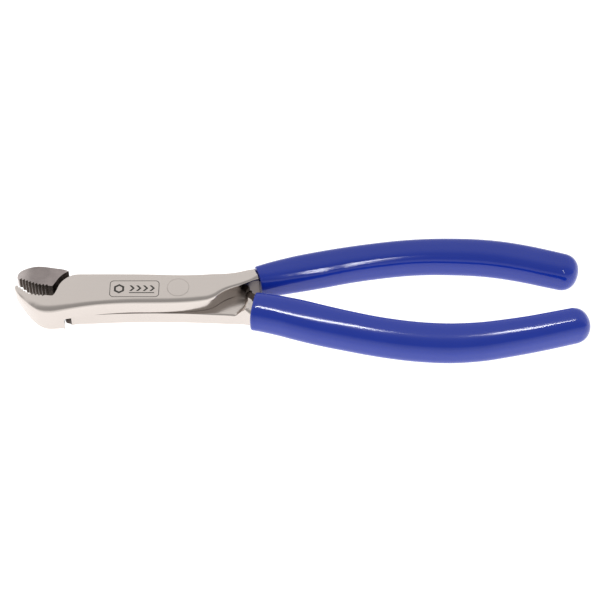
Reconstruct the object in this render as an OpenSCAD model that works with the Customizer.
// Long-nosed holding pliers with a hooked lower jaw: two forged levers lapped
// on one flush rivet, with dipped vinyl grips.
//
// Frame: the origin is on the rivet axis, on the flat back face of the joint.
// +X runs to the handle ends, +Y is the way the jaws and handles open,
// +Z is the rivet axis and points out of the front face.
//
// Piece tree
//   rear_lever    upper jaw + back half of the bar + lower handle tang (fixed)
//     pivot_rivet   pressed into rear_lever
//     lower_grip    dipped on the lower tang
//   front_lever   hooked lower jaw + front half of the bar + upper tang (swings)
//     upper_grip    dipped on the upper tang

/* [Which piece] */

// Piece to draw, or "all" for the whole tool

/* [Levers] */

// Thickness of the closed joint, both layers together (mm)
joint_t = 12.6; // [8:0.1:18]

// Height of the bar's top edge above the rivet axis (mm)
bar_up = 6.5; // [4:0.1:9]

// Depth of the bar's bottom edge below the rivet axis (mm)
bar_down = 7.0; // [4:0.1:9]

// Distance from the rivet axis to the tip of the lower jaw (mm)
reach = 60.3; // [40:0.1:90]

/* [Jaws] */

// Radius that both faces of the nose are ground to (mm)
nose_r = 24; // [15:0.5:60]

// Where the nose grinding starts, in front of the rivet axis (mm)
nose_start = 46; // [35:0.5:60]

// Distance between teeth along the gripping faces (mm)
tooth_pitch = 1.5; // [0.8:0.05:3]

// Depth of the teeth (mm)
tooth_depth = 0.55; // [0.2:0.05:1]

// Number of teeth on each jaw
teeth = 9; // [3:1:14]

/* [Rivet] */

// Diameter of the rivet's shank (mm)
rivet_d = 6; // [4:0.1:9]

// Diameter of each flush head (mm)
head_d = 8; // [5:0.1:12]

// Height of each countersunk head (mm)
head_h = 1; // [0.4:0.05:2]

// Radial running clearance between the rivet and the front lever (mm)
run_gap = 0.03; // [0.01:0.005:0.1]

/* [Handles] */

// Thickness of the grips, front to back (mm)
grip_t = 12.4; // [9:0.1:16]

// Vinyl on the front and back of each tang (mm)
vinyl_face = 1.6; // [0.8:0.1:2.5]

// Vinyl on the narrow sides of each tang (mm)
vinyl_side = 1.9; // [0.8:0.1:2.5]

// Corner radius of the grip's section (mm)
grip_r = 4.8; // [2:0.1:6]

/* [Hidden] */

lap = joint_t / 2;      // the plane the two levers slide on
mid = joint_t / 2;      // middle of the handles

steel = [0.77, 0.75, 0.73];
dark_steel = [0.70, 0.68, 0.66];
vinyl = [0.10, 0.16, 0.62];

// ---------- curves ----------

function cr1(a, b, c, d, t) =
    0.5 * (2 * b + (c - a) * t + (2 * a - 5 * b + 4 * c - d) * t * t
           + (3 * b - a - 3 * c + d) * t * t * t);

function at(p, i) = p[max(0, min(len(p) - 1, i))];

// smooth open curve through the points p, n steps a span
function curve(p, n = 4) = concat(
    [for (i = [0 : len(p) - 2]) for (k = [0 : n - 1])
        cr1(at(p, i - 1), p[i], p[i + 1], at(p, i + 2), k / n)],
    [p[len(p) - 1]]);

function flip(p) = [for (i = [len(p) - 1 : -1 : 0]) p[i]];

function unit(v) = v / norm(v);

// ---------- outlines, seen from the front ----------

// gripping edge of the lower jaw, tip to throat
low_bite = [[-59.5, 3.5], [-58.2, 2.3], [-56.6, 0.7], [-55, -0.7],
            [-52.4, -2.3], [-49, -3.3], [-46.2, -3.8]];

// outer side of the lower jaw and the bar's bottom edge, tip to tang
low_back = [[-60, 3.3], [-reach, 2.6], [-59.7, 0.8], [-58.6, -1.1], [-57.3, -3],
            [-55.6, -5.1], [-53.6, -7.1], [-51.8, -8.7], [-50, -9.8],
            [-48, -10.3], [-45.5, -10.4], [-43, -10.1], [-40, -9.6],
            [-35, -8.7], [-30, -7.9], [-25, -7.4], [-18, -bar_down],
            [-10, -6.9], [-3, -6.8], [3, -6.5], [7.5, -6], [11, -5.3],
            [13.5, -4], [15.5, -2.3], [17.5, -0.9], [20, 0.3], [22.4, 1.2]];

// rounded end of the front layer under the upper jaw, throat to top edge
shoulder_in = [[-46.2, -3.8], [-45.5, -3.6], [-44.9, -2.6], [-44.3, -1], [-43.7, 1],
               [-42.8, 2.7], [-41.6, 4.1], [-40.2, 5.2], [-38.6, 6]];

// the bar's top edge, jaw end to tang
front_top = [[-38.6, 6], [-36, 6.4], [-31, bar_up], [-20, bar_up], [-10, 6.4],
             [0, 6.1], [8, 6.3], [15, 6.9], [19, 7.5], [22.4, 8.4]];

// gripping edge of the upper jaw, tip to throat
up_bite = [[-59.5, 7.4], [-58.3, 6.7], [-57, 5.9], [-55.3, 4.8],
           [-53.8, 4], [-51.5, 2.8], [-49, 1.9], [-46, 1]];

// back of the upper jaw, tip to bar
up_back = [[-59.5, 7.4], [-59.9, 8.3], [-59.7, 9.6], [-58.8, 10.4], [-57, 10.8],
           [-54.5, 10.85], [-52, 10.6], [-49.5, 10.1], [-47, 9.5],
           [-44, 8.9], [-42, 8.3], [-40.4, 7.6]];

// edge of the upper jaw that faces the front layer, throat to back
shoulder_out = [[-46, 1], [-45.1, 3], [-44.1, 4.8], [-42.7, 6.4],
                [-41.6, 7.2], [-40.4, 7.6]];

// edge of the back layer behind the throat, throat to bottom edge
neck = [[-46, 1], [-45, -0.6], [-43.8, -2.2], [-42.4, -3.7], [-41, -5],
        [-39.9, -6.3], [-39.4, -8.1]];

// bottom edge of the back layer, jaw end to tang
rear_bottom = [[-39.4, -8.1], [-34, -8], [-29, -7.8], [-21, -7.4], [-10, -7.2],
               [-3, -7.3], [3, -7.4], [12, -7.8], [18, -8.1], [22.4, -8.6]];

// top edge of the back layer, jaw end to tang
rear_top = [[-40.4, 7.6], [-38.5, 6.9], [-36, bar_up], [-28, bar_up], [-10, 6.4],
            [0, 6.3], [6, 6.1], [10, 5.2], [12.6, 4], [14.8, 2],
            [17, 0.4], [19.5, -0.7], [22.4, -1.4]];

// edge of the lower jaw's back half, throat to its end wall
chin_top = [[-46.2, -3.8], [-45.2, -4.1], [-44.1, -5.1], [-43, -6.4],
            [-42.1, -7.8], [-41.8, -9]];

// ---------- handles ----------

// [x, y, grip width] along each handle
upper_way = [[29, 7.4, 9.6], [33, 8.5, 11], [38, 9.8, 12.4], [44, 11.3, 13.4],
             [53, 13.4, 13.7], [62, 15.4, 13.4], [72, 17.2, 13.3],
             [82, 18.6, 13.3], [91, 19.3, 13.4], [100, 19.4, 13.7],
             [110, 19, 13.9], [119, 17.9, 14], [128, 16, 14],
             [136, 13.8, 13.9], [141.6, 12.2, 13.6]];
lower_way = [[27.3, -6.1, 13.2], [31.5, -6.9, 13.7], [37, -8.2, 14.7],
             [44, -10.2, 15.6], [53, -12.9, 15.6], [62, -15.3, 15.2],
             [72, -17.7, 15], [82, -19.5, 15], [91, -20.5, 15],
             [100, -20.8, 15], [110, -20.1, 14.6], [119, -18.6, 14],
             [128, -16.8, 13.5], [136, -14.9, 13.2], [144, -12.9, 12.8]];

cap = 6;      // length of a grip's domed end

// rounded-rectangle ring of 16 points, w across, t front to back, r at corners
function ring(w, t, r) = [for (q = [0 : 3]) for (k = [0 : 3])
    let (a = q * 90 + k * 30,
         sx = (q == 0 || q == 3) ? 1 : -1,
         sz = q < 2 ? 1 : -1)
    [sx * (w / 2 - r) + r * cos(a), sz * (t / 2 - r) + r * sin(a)]];

// one ring placed on the way point p, with tangent d
function placed(p, d, z, w, t, r) =
    [for (q = ring(w, t, min(r, w / 2 - 0.1, t / 2 - 0.1)))
        [p[0] - d[1] * q[0], p[1] + d[0] * q[0], z + q[1]]];

// every station of a handle: point, tangent and width
function stations(way) = [for (i = [0 : len(way) - 1])
    let (v = at(way, i + 1) - at(way, i - 1), d = unit([v[0], v[1]]))
    [[way[i][0], way[i][1]], d, way[i][2]]];

// closed skin over rings of 16 points
module skin(rings) {
    n = 16;
    m = len(rings);
    pts = [for (r = rings) for (p = r) p];
    polyhedron(
        points = concat(pts, [for (e = [0, m - 1])
            [for (k = [0 : 2]) (rings[e][0][k] + rings[e][8][k]) / 2]]),
        faces = concat(
            [for (i = [0 : m - 2]) for (j = [0 : n - 1]) each [
                [i * n + j, (i + 1) * n + j, i * n + (j + 1) % n],
                [i * n + (j + 1) % n, (i + 1) * n + j, (i + 1) * n + (j + 1) % n]]],
            [for (j = [0 : n - 1]) [m * n, j, (j + 1) % n]],
            [for (j = [0 : n - 1])
                [m * n + 1, (m - 1) * n + (j + 1) % n, (m - 1) * n + j]]),
        convexity = 6);
}

// domed end: rings that shrink along d, from width w and thickness t
function dome(p, d, w, t, r, len, z) = [for (a = [25, 45, 65, 85])
    let (f = cos(a))
    placed(p + d * (len * sin(a)), d, z, w * (0.3 + 0.7 * f),
           t * (0.25 + 0.75 * f), r * (0.3 + 0.7 * f))];

// outside of a grip
module grip_outside(way) {
    s = stations(way);
    last = s[len(s) - 1];
    skin(concat(
        [for (q = s) placed(q[0], q[1], mid, q[2], grip_t, grip_r)],
        dome(last[0], last[1], last[2], grip_t, grip_r, cap, mid)));
}

// one side of a tang under its grip; side is +1 for the left, -1 for the right
function tang_side(way, side) = [for (q = stations(way))
    let (h = side * (q[2] / 2 - vinyl_side))
    [q[0][0] - q[1][1] * h, q[0][1] + q[1][0] * h]];

// a tang: its outline seen from the front, cut to its outline seen from above.
// root holds four points, two on each side, where the tang leaves the bar
module tang(way, root, profile) {
    intersection() {
        translate([0, 0, -1]) linear_extrude(joint_t + 2)
            polygon(concat(root[0], tang_side(way, 1), flip(tang_side(way, -1)), root[1]));
        translate([0, 40, 0]) rotate([90, 0, 0]) linear_extrude(80) polygon(profile);
    }
}

tang_lo = mid - grip_t / 2 + vinyl_face;
tang_hi = mid + grip_t / 2 - vinyl_face;

module upper_tang() tang(upper_way,
    [[[20.4, 6.6], [22.4, 8.4], [25, 9.35]], [[25, 2.4], [22.4, 1.2], [20.4, 1.6]]],
    [[19, lap], [21, lap], [27, tang_lo], [160, tang_lo], [160, tang_hi],
     [28, tang_hi], [25, joint_t], [19, joint_t]]);

module lower_tang() tang(lower_way,
    [[[19.5, -1.6], [22.4, -1.4], [25, -1.5]], [[24.3, -9.5], [22.4, -8.6], [19.5, -7.6]]],
    [[18, 0], [22, 0], [26, tang_lo], [160, tang_lo], [160, tang_hi],
     [26.4, tang_hi], [24.6, joint_t], [24.2, joint_t], [23.2, joint_t - 1.2],
     [22, lap + 1.2], [20.8, lap], [18, lap]]);

// ---------- jaws ----------

// slab that the levers are ground from: flat, with a rounded nose
module blank() {
    translate([-nose_start, -40, 0]) cube([120, 80, joint_t]);
    intersection() {
        translate([-nose_start, 0, joint_t - nose_r]) rotate([90, 0, 0])
            cylinder(r = nose_r, h = 80, center = true, $fn = 180);
        translate([-nose_start, 0, nose_r]) rotate([90, 0, 0])
            cylinder(r = nose_r, h = 80, center = true, $fn = 180);
    }
}

// point and direction at distance s along polyline p
function along(p, s, i = 0) =
    let (l = norm(p[i + 1] - p[i]))
    (s <= l || i == len(p) - 2)
        ? [p[i] + (p[i + 1] - p[i]) * s / l, unit(p[i + 1] - p[i])]
        : along(p, s - l, i + 1);

// V grooves across a gripping edge; side is +1 to cut above it, -1 below
module grooves(edge, side) {
    c = curve(edge, 4);
    for (i = [0 : teeth - 1]) {
        q = along(c, 1.2 + i * tooth_pitch);
        a = atan2(q[1][1], q[1][0]);
        translate(q[0]) rotate(a)
            polygon([[-tooth_pitch * 0.42, -side * 0.3],
                     [0, side * tooth_depth],
                     [tooth_pitch * 0.42, -side * 0.3]]);
    }
}

// ---------- pieces ----------

module front_lever() color(steel) {
    difference() {
        union() {
            intersection() {
                blank();
                union() {
                    // front layer: lower jaw, bar and root of the tang
                    translate([0, 0, lap]) linear_extrude(joint_t - lap) difference() {
                        polygon(concat(curve(low_bite), curve(shoulder_in, 3),
                                       curve(front_top, 3), flip(curve(low_back, 3))));
                        grooves(low_bite, -1);
                    }
                    // back half of the hooked jaw
                    linear_extrude(lap + 1) difference() {
                        polygon(concat(curve(low_bite), curve(chin_top, 3), [[-41.8, -9.92]],
                            flip([for (q = curve(low_back, 3)) if (q[0] < -41.9 && q[1] < 3.4) q])));
                        grooves(low_bite, -1);
                    }
                }
            }
            upper_tang();
        }
        // running bore for the rivet, with its countersink
        translate([0, 0, -1]) cylinder(d = rivet_d + 2 * run_gap, h = joint_t + 2, $fn = 96);
        translate([0, 0, joint_t - head_h - run_gap])
            cylinder(d1 = rivet_d + 2 * run_gap, d2 = head_d + 2 * run_gap,
                     h = head_h + run_gap, $fn = 96);
    }
}

module rear_lever() color(dark_steel) {
    difference() {
        union() {
            intersection() {
                blank();
                union() {
                    // back layer: upper jaw, neck, bar and root of the tang
                    linear_extrude(lap) difference() {
                        polygon(concat(curve(up_bite), curve(neck, 3), curve(rear_bottom, 3),
                                       flip(curve(rear_top, 3)), flip(curve(up_back, 3))));
                        grooves(up_bite, 1);
                    }
                    // front half of the upper jaw
                    translate([0, 0, lap - 1]) linear_extrude(joint_t - lap + 1) difference() {
                        polygon(concat(curve(up_bite), curve(shoulder_out, 3),
                                       flip(curve(up_back, 3))));
                        grooves(up_bite, 1);
                    }
                }
            }
            lower_tang();
        }
        // the rivet is pressed in line to line
        translate([0, 0, -1]) cylinder(d = rivet_d, h = lap + 2, $fn = 96);
        cylinder(d1 = head_d, d2 = rivet_d, h = head_h, $fn = 96);
    }
}

module pivot_rivet() color(steel) {
    rotate_extrude($fn = 96)
        polygon([[0, 0], [head_d / 2, 0], [rivet_d / 2, head_h],
                 [rivet_d / 2, joint_t - head_h], [head_d / 2, joint_t], [0, joint_t]]);
}

module upper_grip() color(vinyl) difference() {
    grip_outside(upper_way);
    upper_tang();
}

module lower_grip() color(vinyl) difference() {
    grip_outside(lower_way);
    lower_tang();
}

// ---------- drawing ----------

front_lever();
rear_lever();
pivot_rivet();
upper_grip();
lower_grip();
